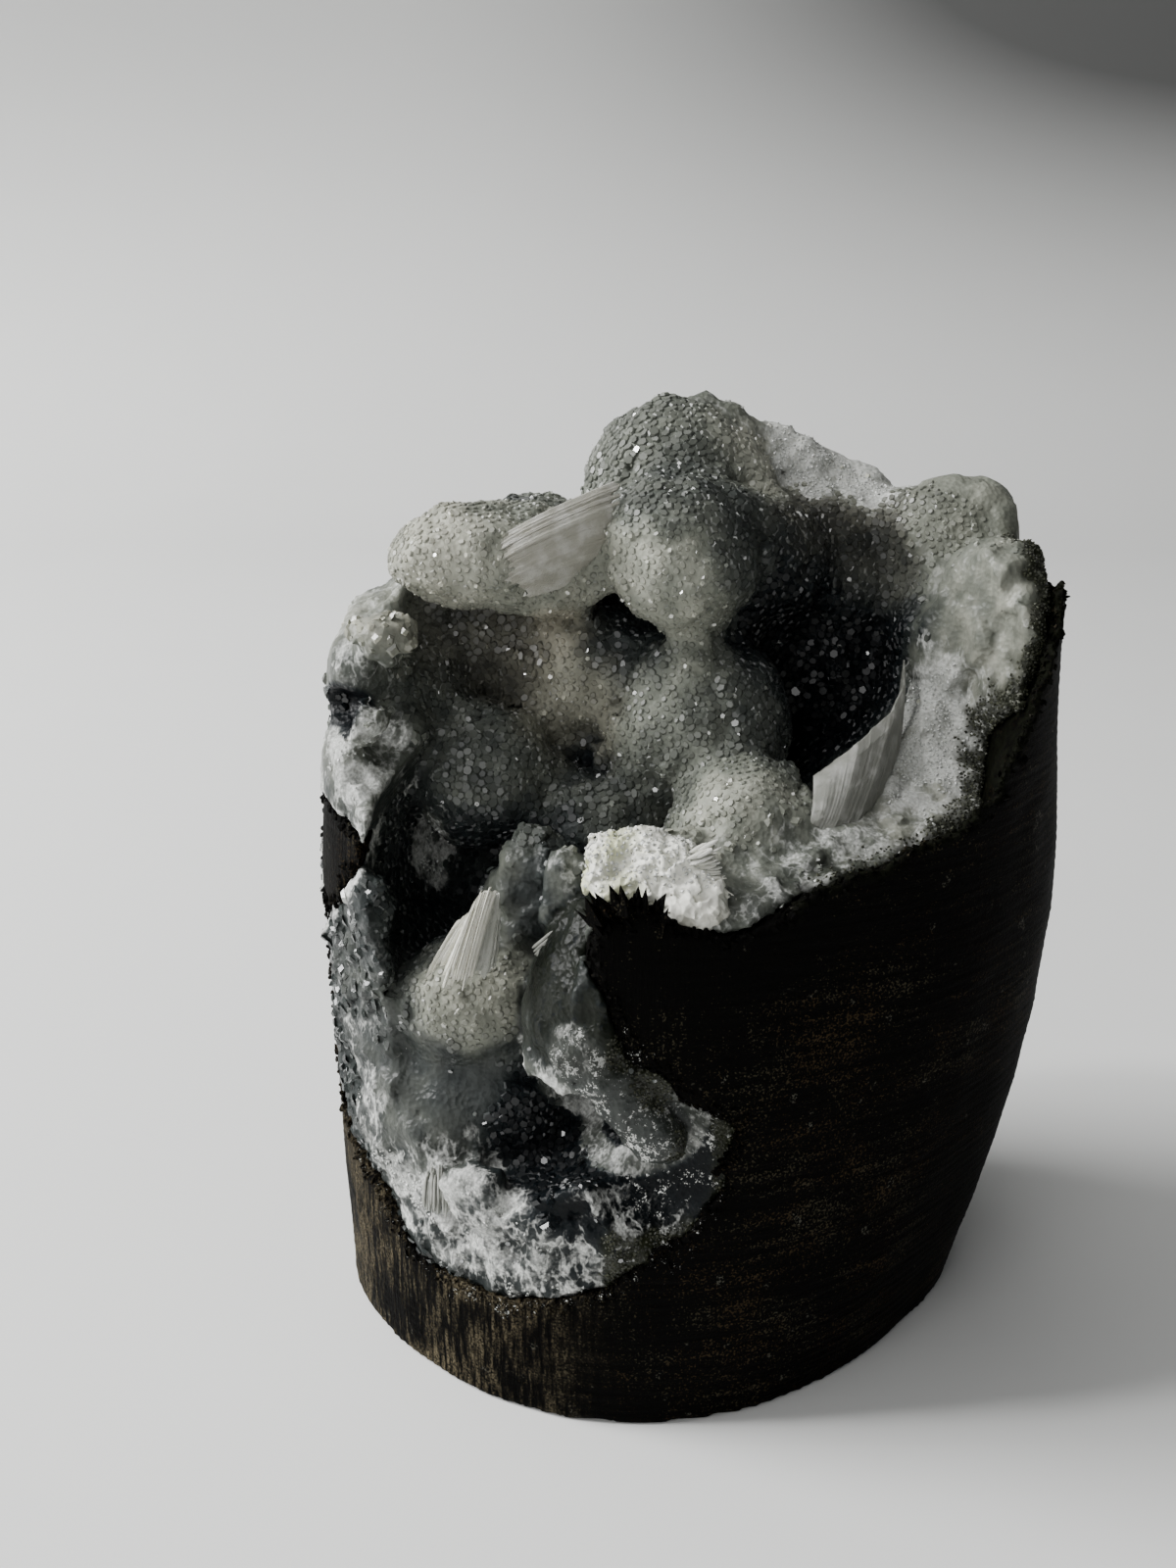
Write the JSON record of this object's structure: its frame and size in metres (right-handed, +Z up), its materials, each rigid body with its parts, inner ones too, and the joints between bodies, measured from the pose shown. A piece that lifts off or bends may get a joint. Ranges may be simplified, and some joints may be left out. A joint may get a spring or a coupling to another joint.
{
  "type": "chalcedony with stilbite on basalt matrix",
  "caption": "Flat-based trunk of dark basalt, its upper half open on a pocket lined with drusy chalcedony balls and stilbite blades.",
  "frame": {"origin": "middle of the cut base, on the surface that the specimen stands on", "axes": "+Z up the trunk, -Y out of the open front of the pocket, +X to the right as seen from the front"},
  "size_m": [0.0996, 0.0782, 0.1233],
  "materials": {
    "basalt": "sawn, matt, near black with fine ridges and small brown and grey specks",
    "chalcedony": "translucent grey crust under fine sparkling quartz grains, whiter along its broken rim",
    "stilbite": "cream, pearly, finely striated along the blades",
    "quartz": "clear and glossy"
  },
  "bodies": {
    "root": {"basalt_matrix": "basalt", "chalcedony_lining": "chalcedony", "stilbite_sheaf_front": "stilbite", "stilbite_blade_top": "stilbite", "stilbite_blade_right": "stilbite", "stilbite_fan_lower": "stilbite", "stilbite_mass_lip": "stilbite", "stilbite_lath": "stilbite", "quartz_point": "quartz"}
  },
  "joints": []
}
